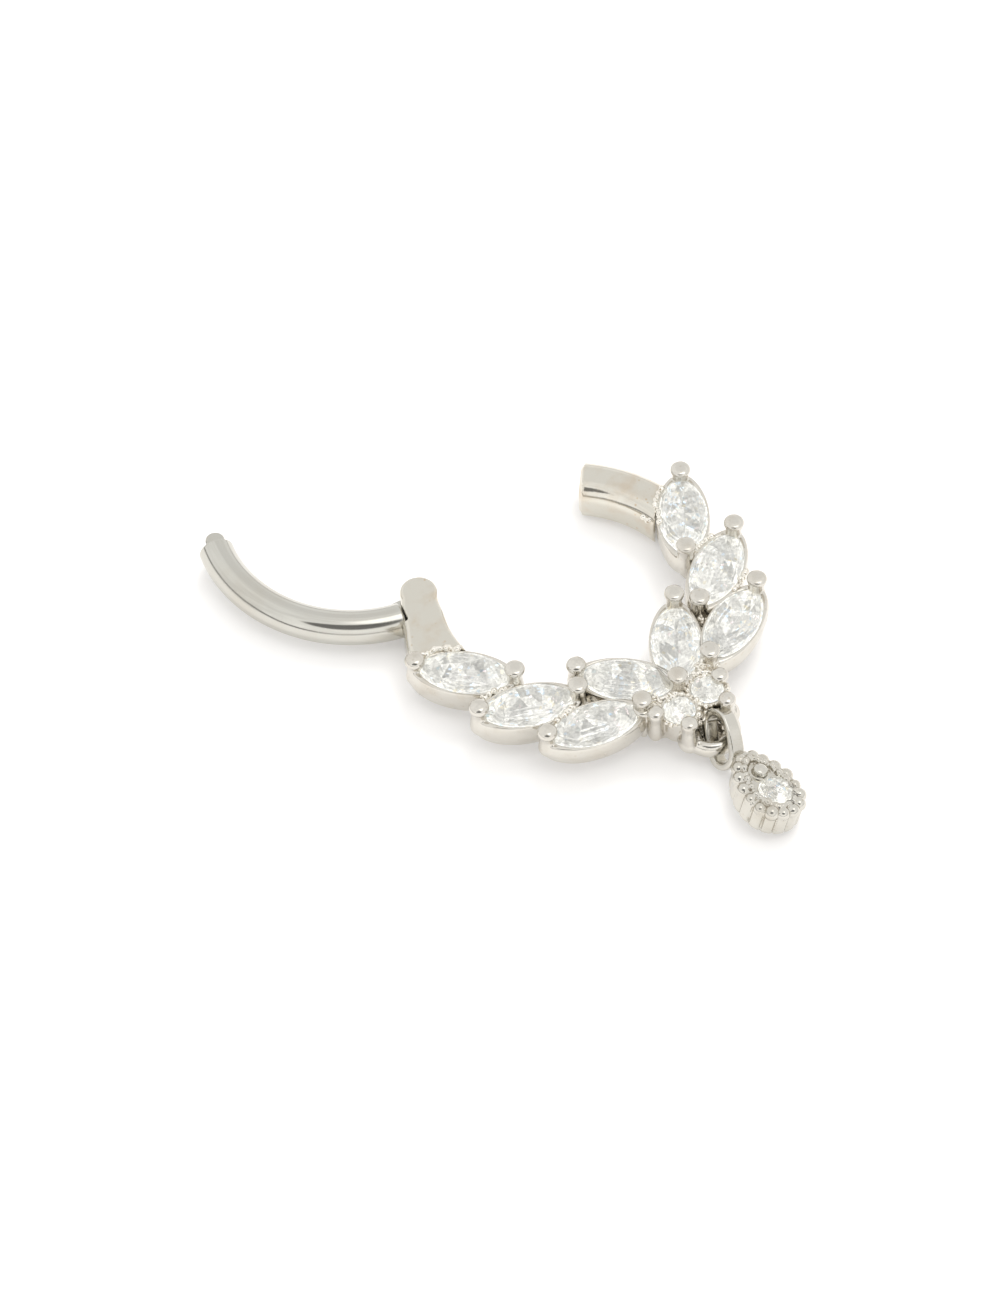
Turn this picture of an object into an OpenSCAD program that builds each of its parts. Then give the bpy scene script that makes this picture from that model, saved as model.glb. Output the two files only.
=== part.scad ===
// Clicker ring for a body piercing: two rows of marquise leaves, a hinged curved bar
// and a small pear drop. It lies on its back, with the stones up and the bar swung open.
// Origin: centre of the ring circle, on the surface the ring lies on. Units are millimetres.

/* [Ring] */
// Radius of the ring's centre line
ring_r = 4.85; // [4.6:0.05:5.2]
// Width of the plain shoulders, across the ring
shoulder_w = 1.4; // [1.3:0.05:1.5]
// Height of the plain shoulders, up from the surface
shoulder_h = 1.65; // [1.6:0.05:1.8]
// Polar angle at which the right shoulder ends
catch_angle = 43.9; // [43:0.1:45]
// Polar angle of the hinge pin
hinge_angle = 140.6; // [140:0.2:142]

/* [Clicker bar] */
// Diameter of the wire of the clicker bar
bar_d = 1.2; // [1.1:0.05:1.25]
// Radius of the bar's curve, at its centre line
bar_r = 4.88; // [4.8:0.02:4.96]
// How far the bar swings from closed to open
swing = 117; // [104:1:118]
// Diameter of the hinge pin
pin_d = 0.44; // [0.36:0.02:0.5]

/* [Leaves] */
// Length of a marquise stone
leaf_l = 2.84; // [2.7:0.02:2.9]
// Width of a marquise stone
leaf_w = 1.58; // [1.5:0.02:1.62]
// Height of the girdle of the stones above the surface
girdle_z = 1.55; // [1.5:0.05:1.65]
// Thickness of a setting's wall
wall = 0.12; // [0.1:0.01:0.14]
// Height of the prong tips above the girdle
prong_rise = 0.72; // [0.6:0.02:0.8]

/* [Round stones and drop] */
// Diameter of the two small round stones
round_d = 1.1; // [1:0.02:1.14]
// Diameter of the stone in the drop
drop_stone_d = 1.24; // [1.1:0.02:1.3]
// Height of the drop's body
drop_h = 0.98; // [0.9:0.02:1.04]
// How far the drop has swung to the left, in degrees
drop_swing = 10; // [8:1:12]
// How far the drop has rolled on to its right edge, in degrees
drop_roll = 15; // [12:1:16]

/* [Hidden] */
$fn = 96;

metal = "silver";
stone = [0.93, 0.95, 0.97];
gap = 0.02;
side_names = ["left", "right"];

// The leaves of the right side: centre x, centre y, angle of the long axis, underside z,
// and the ends that have a prong of their own. The centre prong holds the last leaves' other
// ends.
leaves = [
    [4.91, -0.31, 51, 0.35, [-1, 1]],
    [4.23, -2.74, 27.5, 0.35, [-1, 1]],
    [3.11, -4.79, 19.8, 0.5, [-1, 1]],
    [1.11, -4.14, 49.8, 0.5, [1]]
];
cup_taper = 0.18;
prong_reach = 1.68;
prong_r = 0.25;
prong_head_r = 0.31;
prong_top_z = girdle_z + prong_rise;
prong_foot = 0.2;
prong_head_h = 0.3;
prong_dome_h = 0.12;
prong_dome_share = 0.55;
crown_h = 0.28;
pavilion_h = 0.72;
table_share = 0.52;
keel_w = 0.12;

// The two round seats and their small prongs, on the right side
round_x = 0.635;
round_y = -6.23;
seat_bottom_z = 0.5;
small_prong_r = 0.22;
centre_prong_y = -5.45;
round_crown_h = 0.16;
round_pavilion_h = 0.45;
round_table_share = 0.58;
small_prongs = [[1.41, -6.12], [0.83, -7.2]];

// The loop that the drop hangs from
loop_y = -7.09;
loop_z = 0.7;
loop_r = 0.79;
loop_wire_r = 0.23;

// The hinge and the catch. The pin stands a little outside the ring's centre line, and the
// bar's curve passes a little outside the pin.
bar_z = shoulder_h / 2;
pin_out = 0.17;
bar_out = 0.27;
hinge_end_r = 0.78;
shoulder_round = 0.5;
shoulder_from = 5;
pin = (ring_r + pin_out) * [cos(hinge_angle), sin(hinge_angle)];
catch_point = ring_r * [cos(catch_angle), sin(catch_angle)];
chord = norm(catch_point - pin);
chord_angle = atan2(catch_point[1] - pin[1], catch_point[0] - pin[0]);

// The closed bar's curve: its centre, and the polar angles of its two ends about that centre
pin_from_centre = bar_r - bar_out;
centre_angle = chord_angle - acos((pow(chord, 2) + pow(pin_from_centre, 2) - pow(bar_r, 2))
    / (2 * chord * pin_from_centre));
bar_centre = pin + pin_from_centre * [cos(centre_angle), sin(centre_angle)];
closed_angle = centre_angle + 90;
butt_angle = asin((hinge_end_r + 0.04) / pin_from_centre);
bar_start = centre_angle + 180 - butt_angle;
bar_end = atan2(catch_point[1] - bar_centre[1], catch_point[0] - bar_centre[0]);
tongue_t = 0.6;
tongue_r = 0.4;
shoulder_gap = 0.05;
nub_w = 0.62;
nub_l = 0.33;
nub_h = 1.1;
big = 20;

// The drop's own frame: its origin is where its link hangs on the loop
link_y = loop_y - loop_r;
link_r_out = 0.78;
link_r_in = 0.48;
link_w = 0.42;
link_x = -0.38;
link_half = 0.15;
drop_x = -0.04;
drop_r = 0.97;
drop_centre_y = -2.84;
drop_tip_r = 0.6;
drop_tip_y = -1.46;
drop_rim_inset = 0.1;
drop_rim_w = 0.26;
drop_stone_set = 0.04;

function rounded_box(w, h, r, steps = 6) = [
    for (corner = [0 : 3])
        for (i = [0 : steps])
            let (a = corner * 90 + i * 90 / steps,
                 sx = (corner == 0 || corner == 3) ? 1 : -1,
                 sy = corner < 2 ? 1 : -1)
            [sx * (w / 2 - r) + r * cos(a), sy * (h / 2 - r) + r * sin(a)]
];

// The right half of such a box, for turning about its own middle
function rounded_half(w, h, r) = concat(
    [[0, h / 2], [0, -h / 2]],
    [for (p = rounded_box(w, h, r)) if (p[0] > 0 && p[1] < 0) p],
    [for (p = rounded_box(w, h, r)) if (p[0] > 0 && p[1] > 0) p]
);

function lens_rho(l, w) = (l * l + w * w) / (4 * w);

// A marquise outline is what two equal round bodies share. rho_0 and rho_1 are their
// radii at the bottom and the top, and off is how far each axis is from the middle.
module lens(rho_0, rho_1, off, h) {
    intersection() {
        translate([0, -off, 0]) cylinder(h = h, r1 = rho_0, r2 = rho_1);
        translate([0, off, 0]) cylinder(h = h, r1 = rho_0, r2 = rho_1);
    }
}

leaf_rho = lens_rho(leaf_l, leaf_w);
leaf_off = leaf_rho - leaf_w / 2;

module leaf_stone() {
    table_rho = leaf_rho - leaf_w / 2 * (1 - table_share);
    keel_rho = leaf_off + keel_w / 2;
    translate([0, 0, girdle_z])
        lens(leaf_rho, table_rho, leaf_off, crown_h);
    translate([0, 0, girdle_z - pavilion_h])
        lens(keel_rho, leaf_rho, leaf_off, pavilion_h);
}

module at_leaf(leaf, side) {
    mirror([side == "left" ? 1 : 0, 0, 0])
        translate([leaf[0], leaf[1], 0])
            rotate(leaf[2])
                children();
}

module prong(r, head_r, z0, z1) {
    dome_z = z1 - prong_dome_h;
    translate([0, 0, z0])
        cylinder(h = dome_z - z0, r = r, $fn = 32);
    translate([0, 0, dome_z - prong_head_h])
        cylinder(h = prong_head_h, r = head_r, $fn = 32);
    translate([0, 0, dome_z])
        cylinder(h = prong_dome_h, r1 = head_r, r2 = head_r * prong_dome_share, $fn = 32);
}

module leaf_cup(bottom_z, ends) {
    translate([0, 0, bottom_z])
        lens(leaf_rho + wall - cup_taper, leaf_rho + wall, leaf_off, girdle_z + 0.02 - bottom_z);
    for (end = ends)
        translate([end * prong_reach, 0, 0])
            prong(prong_r, prong_head_r, bottom_z + prong_foot, prong_top_z);
}

module leaf_hollow(bottom_z) {
    translate([0, 0, bottom_z - 0.1])
        lens(leaf_rho - 0.38, leaf_rho + gap, leaf_off, girdle_z + 0.15 - bottom_z);
}

module round_seat() {
    r = round_d / 2 + wall;
    translate([0, 0, seat_bottom_z])
        cylinder(h = girdle_z - seat_bottom_z, r1 = r - 0.06, r2 = r, $fn = 48);
}

module round_hollow() {
    translate([0, 0, seat_bottom_z - 0.1])
        cylinder(h = girdle_z - seat_bottom_z + 0.15,
            r1 = round_d / 2 - 0.25, r2 = round_d / 2 + gap, $fn = 48);
}

module round_stone(d) {
    translate([0, 0, girdle_z])
        cylinder(h = round_crown_h, r1 = d / 2, r2 = d / 2 * round_table_share, $fn = 48);
    translate([0, 0, girdle_z - round_pavilion_h])
        cylinder(h = round_pavilion_h, r1 = 0.03, r2 = d / 2, $fn = 48);
}

// Low plates between the settings, where the casting is closed
module web() {
    translate([0, 0, seat_bottom_z])
        linear_extrude(0.4)
            for (side = [-1, 1])
                polygon([
                    [side * 2.74, -3.51],
                    [side * 2.19, -2.85],
                    [side * 1.1, -4.1],
                    [0, -5.4],
                    [0, -6.6],
                    [side * 0.7, -6.5],
                    [side * 1.5, -6.1],
                    [side * 1.51, -5.36],
                    [side * 3.1, -4.8]
                ]);
    for (side = [-1, 1])
        translate([side * 3.95, -1.9, 0.9])
            cube([0.5, 0.9, 0.8], center = true);
}

module shoulder(from, to) {
    translate([0, 0, shoulder_h / 2])
        rotate([0, 0, from])
            rotate_extrude(angle = to - from)
                translate([ring_r, 0])
                    polygon(rounded_box(shoulder_w, shoulder_h, shoulder_round));
}

// The hinge shoulder: round about the pin, and cut away where the open bar stands beside it
module hinge_shoulder() {
    joined_from = hinge_angle + 3.5;
    translate([pin[0], pin[1], bar_z])
        rotate_extrude()
            polygon(rounded_half(2 * hinge_end_r, shoulder_h, shoulder_round));
    difference() {
        shoulder(joined_from, 180 - shoulder_from);
        translate([pin[0], pin[1], -1])
            rotate(closed_angle + swing)
                translate([hinge_end_r - 0.1, bar_d / 2 + shoulder_gap - big, 0])
                    cube([big, big, 4]);
    }
}

// The room that the bar's tongue sweeps, from closed to open
module tongue_slot() {
    reach = 2 * hinge_end_r;
    steps = 6;
    past = 1.15;
    translate([pin[0], pin[1], bar_z - tongue_t / 2 - gap])
        linear_extrude(tongue_t + 2 * gap) {
            circle(r = tongue_r + 2 * gap);
            for (a = [closed_angle, closed_angle + swing])
                rotate(a)
                    translate([0, -tongue_r - 2 * gap])
                        square([reach, 2 * tongue_r + 4 * gap]);
            polygon([[0, 0], for (i = [0 : steps])
                let (a = closed_angle + swing * i / steps)
                past * reach * [cos(a), sin(a)]]);
        }
}

module pin_hole(r, z0, z1) {
    translate([pin[0], pin[1], z0])
        cylinder(h = z1 - z0, r = r, $fn = 32);
}

pin_top_z = shoulder_h - 0.25;

// The pocket that the bar's nub drops into, along its path round the pin
module catch_pocket() {
    pocket_from = 3.4;
    pocket_angle = 10;
    inner = nub_w / 2 + gap;
    outer = inner + 0.15;
    translate([pin[0], pin[1], bar_z])
        rotate([0, 0, chord_angle - pocket_from])
            rotate_extrude(angle = pocket_angle)
                translate([chord - inner, -nub_h / 2 - gap])
                    square([inner + outer, nub_h + 2 * gap]);
}

module base_loop() {
    translate([0, loop_y, loop_z])
        rotate_extrude()
            translate([loop_r, 0])
                circle(r = loop_wire_r, $fn = 32);
}

module ring_frame() {
    color(metal)
        difference() {
            union() {
                hinge_shoulder();
                shoulder(shoulder_from, catch_angle);
                for (side = side_names)
                    for (leaf = leaves)
                        at_leaf(leaf, side) leaf_cup(leaf[3], leaf[4]);
                for (side = [-1, 1]) {
                    translate([side * round_x, round_y, 0]) round_seat();
                    for (p = small_prongs)
                        translate([side * p[0], p[1], 0])
                            prong(small_prong_r - 0.02, small_prong_r, seat_bottom_z, prong_top_z - 0.1);
                }
                translate([0, centre_prong_y, 0])
                    prong(prong_r, prong_head_r, seat_bottom_z, prong_top_z);
                web();
                base_loop();
            }
            for (side = side_names)
                for (leaf = leaves)
                    at_leaf(leaf, side) leaf_hollow(leaf[3]);
            for (side = [-1, 1])
                translate([side * round_x, round_y, 0]) round_hollow();
            tongue_slot();
            pin_hole(pin_d / 2, -1, pin_top_z + gap);
            catch_pocket();
        }
}

module hinge_pin() {
    color(metal)
        pin_hole(pin_d / 2 - gap / 2, 0.05, pin_top_z);
}

// The bar in its closed place
module bar_closed() {
    inward = catch_angle - 90;
    overrun = 12;
    difference() {
        union() {
            // The round wire, cut square to the catch
            difference() {
                translate([bar_centre[0], bar_centre[1], bar_z])
                    rotate([0, 0, bar_end - overrun])
                        rotate_extrude(angle = bar_start - bar_end + overrun, $fn = 240)
                            translate([bar_r, 0])
                                circle(d = bar_d, $fn = 64);
                translate([catch_point[0], catch_point[1], 0])
                    rotate(inward)
                        translate([-shoulder_gap, -big / 2, -1])
                            cube([big, big, 4]);
            }
            // The nub at the free end
            translate([catch_point[0], catch_point[1], bar_z])
                rotate(bar_end - 90) {
                    nub_r = nub_w / 2;
                    nub_root = 0.5;
                    translate([-nub_root, -nub_r, -nub_h / 2])
                        cube([nub_root + nub_l - nub_r, nub_w, nub_h]);
                    translate([nub_l - nub_r, 0, -nub_h / 2])
                        cylinder(h = nub_h, r = nub_r, $fn = 32);
                }
            // The flat tongue at the hinge
            translate([pin[0], pin[1], bar_z - tongue_t / 2]) {
                cylinder(h = tongue_t, r = tongue_r, $fn = 48);
                rotate(closed_angle)
                    translate([0, -tongue_r, 0])
                        cube([hinge_end_r + 0.3, 2 * tongue_r, tongue_t]);
            }
        }
        pin_hole(pin_d / 2 + gap, -1, 4);
    }
}

module clicker_bar() {
    color(metal)
        translate([pin[0], pin[1], 0])
            rotate(swing)
                translate([-pin[0], -pin[1], 0])
                    bar_closed();
}

// The drop lies on its back and leans on its right edge, which stays on the surface
drop_lift = drop_r * sin(drop_roll) + 0.01;
link_z = link_r_out - drop_lift;

module drop_place() {
    translate([drop_x, link_y, drop_lift])
        rotate([0, drop_roll, -drop_swing])
            children();
}

// The pear outline: a large and a small circle, and the straight sides that join them
module pear(inset) {
    big_r = drop_r - inset;
    tip_r = drop_tip_r - inset;
    a = acos((big_r - tip_r) / (drop_tip_y - drop_centre_y));
    translate([0, drop_centre_y]) circle(r = big_r);
    translate([0, drop_tip_y]) circle(r = tip_r);
    polygon([
        [-big_r * sin(a), drop_centre_y + big_r * cos(a)],
        [big_r * sin(a), drop_centre_y + big_r * cos(a)],
        [tip_r * sin(a), drop_tip_y + tip_r * cos(a)],
        [-tip_r * sin(a), drop_tip_y + tip_r * cos(a)]
    ]);
}

// A plate with two round ends, for the link and for its hole
module oval(r, h) {
    for (end = [-1, 1])
        translate([0, end * link_half, 0])
            cylinder(h = h, r = r, center = true, $fn = 64);
    cube([2 * r, 2 * link_half, h], center = true);
}

module drop_setting() {
    floor_z = 0.3;
    seat_r = drop_stone_d / 2;
    color(metal)
        drop_place() {
            difference() {
                union() {
                    linear_extrude(drop_h / 2) pear(0);
                    linear_extrude(drop_h) pear(drop_rim_inset);
                }
                translate([0, drop_centre_y, floor_z])
                    cylinder(h = 2, r1 = seat_r - 0.28, r2 = seat_r + 0.42, $fn = 48);
                translate([0, 0, drop_h - 0.1])
                    linear_extrude(1) pear(drop_rim_w);
            }
            translate([link_x, 0, link_z])
                rotate([0, 90, 0])
                    difference() {
                        oval(link_r_out, link_w);
                        oval(link_r_in, 1);
                    }
        }
}

module drop_stone() {
    color(stone)
        drop_place()
            translate([0, drop_centre_y, drop_h - girdle_z - drop_stone_set])
                round_stone(drop_stone_d);
}

module placed_leaf_stone(number, side) {
    color(stone) at_leaf(leaves[number - 1], side) leaf_stone();
}

module placed_round_stone(side) {
    color(stone)
        translate([side * round_x, round_y, 0])
            round_stone(round_d);
}

ring_frame();
hinge_pin();
clicker_bar();
placed_leaf_stone(1, "left");  // leaf_stone_left_1
placed_leaf_stone(2, "left");  // leaf_stone_left_2
placed_leaf_stone(3, "left");  // leaf_stone_left_3
placed_leaf_stone(4, "left");  // leaf_stone_left_4
placed_leaf_stone(1, "right");  // leaf_stone_right_1
placed_leaf_stone(2, "right");  // leaf_stone_right_2
placed_leaf_stone(3, "right");  // leaf_stone_right_3
placed_leaf_stone(4, "right");  // leaf_stone_right_4
placed_round_stone(-1);  // round_stone_left
placed_round_stone(1);  // round_stone_right
drop_setting();
drop_stone();
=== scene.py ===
# %% [markdown]
# # Clicker ring
# A clicker is a ring for a body piercing. A curved bar swings on a hinge at one end of the
# ring and clicks into a pocket at the other end. Here it lies on its back with the bar open.
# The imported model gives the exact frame, and every piece below is built round it. All the
# shaping is done in millimetres, because Blender's voxel tools do not work below a tenth of
# a millimetre in metres, and each finished mesh is scaled down once at the end.

# %% Load the frame
import math
import random
from collections import namedtuple
import bmesh
import bpy
from mathutils import Matrix, Vector


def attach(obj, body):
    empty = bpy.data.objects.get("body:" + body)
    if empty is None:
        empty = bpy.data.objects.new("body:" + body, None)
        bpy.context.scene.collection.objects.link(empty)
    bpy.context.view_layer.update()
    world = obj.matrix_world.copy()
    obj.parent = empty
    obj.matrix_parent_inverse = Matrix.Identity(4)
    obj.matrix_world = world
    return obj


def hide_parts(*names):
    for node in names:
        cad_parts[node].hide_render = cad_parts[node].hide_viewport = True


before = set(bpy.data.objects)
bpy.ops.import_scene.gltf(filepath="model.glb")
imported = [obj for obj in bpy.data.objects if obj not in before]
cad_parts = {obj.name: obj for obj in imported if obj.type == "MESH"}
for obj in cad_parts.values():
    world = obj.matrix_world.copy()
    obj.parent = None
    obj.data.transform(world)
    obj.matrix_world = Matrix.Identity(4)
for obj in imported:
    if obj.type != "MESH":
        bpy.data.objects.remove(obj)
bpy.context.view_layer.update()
MM = 0.001
UP = Vector((0, 0, 1))


# %% [markdown]
# ## The camera
# The photograph looks down on the ring from 53 degrees, with a long lens, so parallel edges
# stay parallel. The camera is aimed with its own right and up directions, not with a tracking
# constraint, so that the picture does not roll when the ring sits right of the middle.

# %% Camera
px_per_mm = 30  # in the photograph, where the ring lies
picture_height = 1294
sensor_mm = 36
turn, tilt = math.radians(42.05), math.radians(53.42)
toward_camera = Vector((-math.sin(turn) * math.cos(tilt), -math.cos(turn) * math.cos(tilt), math.sin(tilt)))
picture_right = Vector((math.cos(turn), -math.sin(turn), 0))
picture_up = toward_camera.cross(picture_right)
distance = 250
middle = Vector((0, -3.5, 2.15))
aim = middle - 4.513 * picture_right - 0.24 * picture_up
lens_place = middle + distance * toward_camera

back = (lens_place - aim).normalized()
right = picture_up.cross(back).normalized()
camera_data = bpy.data.cameras.new("camera")
camera_data.sensor_width = sensor_mm
camera_data.lens = px_per_mm * distance / picture_height * sensor_mm
camera_data.clip_start, camera_data.clip_end = 0.005, 20
camera = bpy.data.objects.new("camera", camera_data)
bpy.context.collection.objects.link(camera)
facing = Matrix((right, back.cross(right), back)).transposed().to_4x4()
camera.matrix_world = Matrix.Translation(lens_place * MM) @ facing
bpy.context.scene.camera = camera
print("focal length", round(camera_data.lens, 1), "mm")


# %% [markdown]
# ## Light and floor
# Small polished things are photographed in a white tent. What makes the metal readable is
# what it mirrors: white nearly everywhere, a dark line where the tent meets the table, the
# dark oval that the lens looks through, and a bright lamp overhead. The world shader paints
# just that, and shows plain white to the camera itself. A real lamp casts the soft shadow; it
# is hidden from mirrors and glass, which have the painted one.

# %% Short names for nodes
def node(tree, kind, values=(), **settings):
    """One node with its settings and the values of its inputs; a value may be another node's output."""
    made = tree.nodes.new(kind)
    for name, setting in settings.items():
        setattr(made, name, setting)
    for name, value in dict(values).items():
        if isinstance(value, bpy.types.NodeSocket):
            tree.links.new(value, made.inputs[name])
        else:
            made.inputs[name].default_value = value
    return made


def ramp(tree, value, start, end, low=0.0, high=1.0):
    """A soft step from low to high as value goes from start to end."""
    return node(tree, "ShaderNodeMapRange", {0: value, 1: start, 2: end, 3: low, 4: high},
                interpolation_type="SMOOTHSTEP").outputs[0]


def math_node(tree, operation, a, b):
    return node(tree, "ShaderNodeMath", {0: a, 1: b}, operation=operation).outputs[0]


def times(tree, a, b):
    return math_node(tree, "MULTIPLY", a, b)


def plus(tree, a, b):
    return math_node(tree, "ADD", a, b)


def less(tree, a, b):
    return math_node(tree, "SUBTRACT", a, b)


def blend(tree, mask, a, b):
    """A mix of two colours."""
    return node(tree, "ShaderNodeMix", {0: mask, 6: a, 7: b}, data_type="RGBA").outputs[2]


def noise(tree, vector, scale, detail):
    return node(tree, "ShaderNodeTexNoise", {"Vector": vector, "Scale": scale, "Detail": detail}).outputs[0]


def voronoi(tree, vector, scale, output="Distance"):
    return node(tree, "ShaderNodeTexVoronoi", {"Vector": vector, "Scale": scale}).outputs[output]


# %% World
world = bpy.data.worlds.new("light_tent")
world.use_nodes = True
bpy.context.scene.world = world
bpy.context.scene.view_settings.view_transform = "Standard"
tree = world.node_tree
tree.nodes.clear()

direction = node(tree, "ShaderNodeTexCoord").outputs["Generated"]
height = node(tree, "ShaderNodeSeparateXYZ", {0: direction}).outputs[2]


def facing_way(way):
    """How directly a ray goes towards a direction, from -1 to 1."""
    return node(tree, "ShaderNodeVectorMath", {0: direction, 1: tuple(way.normalized())},
                operation="DOT_PRODUCT").outputs["Value"]


camera_side = Vector((toward_camera.x, toward_camera.y, 0)).normalized()
across, upward = facing_way(picture_right), facing_way(picture_up)

# the dark line round the table, thicker on the camera's side and lifted at the left
line_top = ramp(tree, facing_way(camera_side), -0.6, 0.7, 0.1, 0.17)
lifted = less(tree, height, ramp(tree, across, -0.9, -0.6, 0.09, 0))
under_top = ramp(tree, less(tree, lifted, line_top), -0.03, 0.02, 1, 0)
line = times(tree, ramp(tree, lifted, 0.004, 0.02), under_top)
band = times(tree, line, ramp(tree, across, -0.6, -0.1, 0.75, 0.4))

# the oval hole for the lens
oval = plus(tree, times(tree, across, across), times(tree, times(tree, upward, upward), 2.0))
lens_hole = times(tree, ramp(tree, oval, 0.12, 0.19, 0.85, 0), ramp(tree, facing_way(toward_camera), 0.0, 0.1))
dark = math_node(tree, "MAXIMUM", band, lens_hole)

# the white cloth: a window of light overhead, a dimmer far wall, a brighter near wall, soft folds
window = ramp(tree, facing_way(0.1 * camera_side + 0.24 * picture_right + UP), 0.945, 0.985, 0.0, 0.9)
far_wall = ramp(tree, facing_way(-camera_side + 0.9 * UP), 0.75, 1.0, 0.0, -0.06)
near_wall = ramp(tree, facing_way(camera_side + 0.3 * UP), 0.4, 0.95, 1.0, 1.22)
folds = ramp(tree, noise(tree, direction, 3.2, 1.0), 0.4, 0.6, 0.0, 0.12)
white = plus(tree, plus(tree, window, far_wall), plus(tree, near_wall, folds))
shade = times(tree, white, less(tree, 1.0, times(tree, dark, 0.97)))

tent = node(tree, "ShaderNodeBackground", {"Color": (1.0, 0.995, 0.985, 1), "Strength": shade}).outputs[0]
plain = node(tree, "ShaderNodeBackground", {"Color": (1, 1, 1, 1), "Strength": 1.1}).outputs[0]
seen = node(tree, "ShaderNodeLightPath").outputs["Is Camera Ray"]
mixed = node(tree, "ShaderNodeMixShader", {0: seen, 1: tent, 2: plain}).outputs[0]
node(tree, "ShaderNodeOutputWorld", {0: mixed})
print("world", world.name, "with", len(tree.nodes), "nodes")

# %% Lamp and floor
lamp_place = Vector((0.13, 0.06, 0.17))
lamp_data = bpy.data.lights.new("soft_lamp", "AREA")
lamp_data.shape = "DISK"
lamp_data.size = 0.12
lamp_data.energy = 0.16
lamp_data.color = (1.0, 0.985, 0.96)
lamp = bpy.data.objects.new("soft_lamp", lamp_data)
bpy.context.collection.objects.link(lamp)
lamp.location = lamp_place
lamp.visible_glossy = False
lamp.visible_transmission = False
lamp.rotation_mode = "QUATERNION"
lamp.rotation_quaternion = lamp_place.to_track_quat("Z", "Y")

floor_radius = 0.6
floor_bm = bmesh.new()
bmesh.ops.create_circle(floor_bm, cap_ends=True, segments=96, radius=floor_radius)
floor_mesh = bpy.data.meshes.new("floor")
floor_bm.to_mesh(floor_mesh)
floor_bm.free()
floor = bpy.data.objects.new("floor", floor_mesh)
floor.location.z = -0.00001
bpy.context.collection.objects.link(floor)
floor_material = bpy.data.materials.new("white_table")
floor_material.use_nodes = True
floor_shader = floor_material.node_tree.nodes["Principled BSDF"]
for socket, value in (("Base Color", (0.9, 0.89, 0.885, 1)), ("Roughness", 0.75), ("Specular IOR Level", 0.1),
                      ("Emission Color", (1, 1, 1, 1)), ("Emission Strength", 0.2)):
    floor_shader.inputs[socket].default_value = value
floor_mesh.materials.append(floor_material)
print("lamp", tuple(round(v, 3) for v in lamp.location), "floor radius", floor_radius, "m")


# %% [markdown]
# ## Surface effects
# Cast and plated metal is never a perfect mirror: it has a fine grain, small pits and cloudy
# patches where the polishing wheel did not reach. One node group makes those three effects
# from Object coordinates, and each metal below uses it with its own amounts. The group also
# adds a few small specks, and darkens the hollows with painted shade, a warm brown that also
# stands for the polish and dirt that stay there. Each piece notes its hollows as an attribute
# of its corner points.

# %% Node group for cast metal
# painted shade for the hollows: a warm brown that also stands for the polish and dirt held there
hollow_shade_and_dirt = (0.2, 0.15, 0.095, 1)
surface = bpy.data.node_groups.new("metal_surface", "ShaderNodeTree")
for name, value in (("Grain Scale", 9000.0), ("Cloud Scale", 900.0), ("Pit Scale", 5000.0), ("Pit Amount", 0.3),
                    ("Wave Amount", 1.0), ("Speck Amount", 0.5), ("Smooth Roughness", 0.1), ("Dull Roughness", 0.3)):
    surface.interface.new_socket(name, in_out="INPUT", socket_type="NodeSocketFloat").default_value = value
for name in ("Bright Color", "Stain Color"):
    surface.interface.new_socket(name, in_out="INPUT", socket_type="NodeSocketColor")
surface.interface.new_socket("Color", in_out="OUTPUT", socket_type="NodeSocketColor")
for name in ("Roughness", "Height"):
    surface.interface.new_socket(name, in_out="OUTPUT", socket_type="NodeSocketFloat")

given = node(surface, "NodeGroupInput").outputs
place = node(surface, "ShaderNodeTexCoord").outputs["Object"]
cloud = noise(surface, place, given["Cloud Scale"], 4.0)
grain = noise(surface, place, given["Grain Scale"], 3.0)
cloudy = ramp(surface, cloud, 0.42, 0.68)
pit_shape = ramp(surface, voronoi(surface, place, given["Pit Scale"]), 0.0, 0.35, 1.0, 0.0)
pit_mask = times(surface, pit_shape, times(surface, cloudy, given["Pit Amount"]))
waves = times(surface, cloud, given["Wave Amount"])
fine = less(surface, times(surface, grain, 0.35), pit_mask)
roughness = node(surface, "ShaderNodeMapRange",
                 {0: plus(surface, cloudy, pit_mask), 1: 0.0, 2: 1.4, 3: given["Smooth Roughness"],
                  4: given["Dull Roughness"]}).outputs[0]

dots = ramp(surface, voronoi(surface, place, 4200.0), 0.08, 0.26, 1.0, 0.0)
specks = times(surface, dots, ramp(surface, noise(surface, place, 420.0, 2.0), 0.42, 0.54))
stain = times(surface, ramp(surface, cloud, 0.42, 0.78), 0.45)
worn = math_node(surface, "MAXIMUM", stain, times(surface, specks, given["Speck Amount"]))
plated = blend(surface, worn, given["Bright Color"], given["Stain Color"])
# painted shade: corner points in sharper hollows blend towards the warm brown
hollow = node(surface, "ShaderNodeAttribute", attribute_name="hollow").outputs["Fac"]
hollow_shade = times(surface, ramp(surface, hollow, 0.05, 0.26), 0.8)
node(surface, "NodeGroupOutput", {"Color": blend(surface, hollow_shade, plated, hollow_shade_and_dirt), "Roughness": roughness,
                                  "Height": plus(surface, waves, fine)})
print("node group", surface.name, "with", len(surface.nodes), "nodes")


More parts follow.
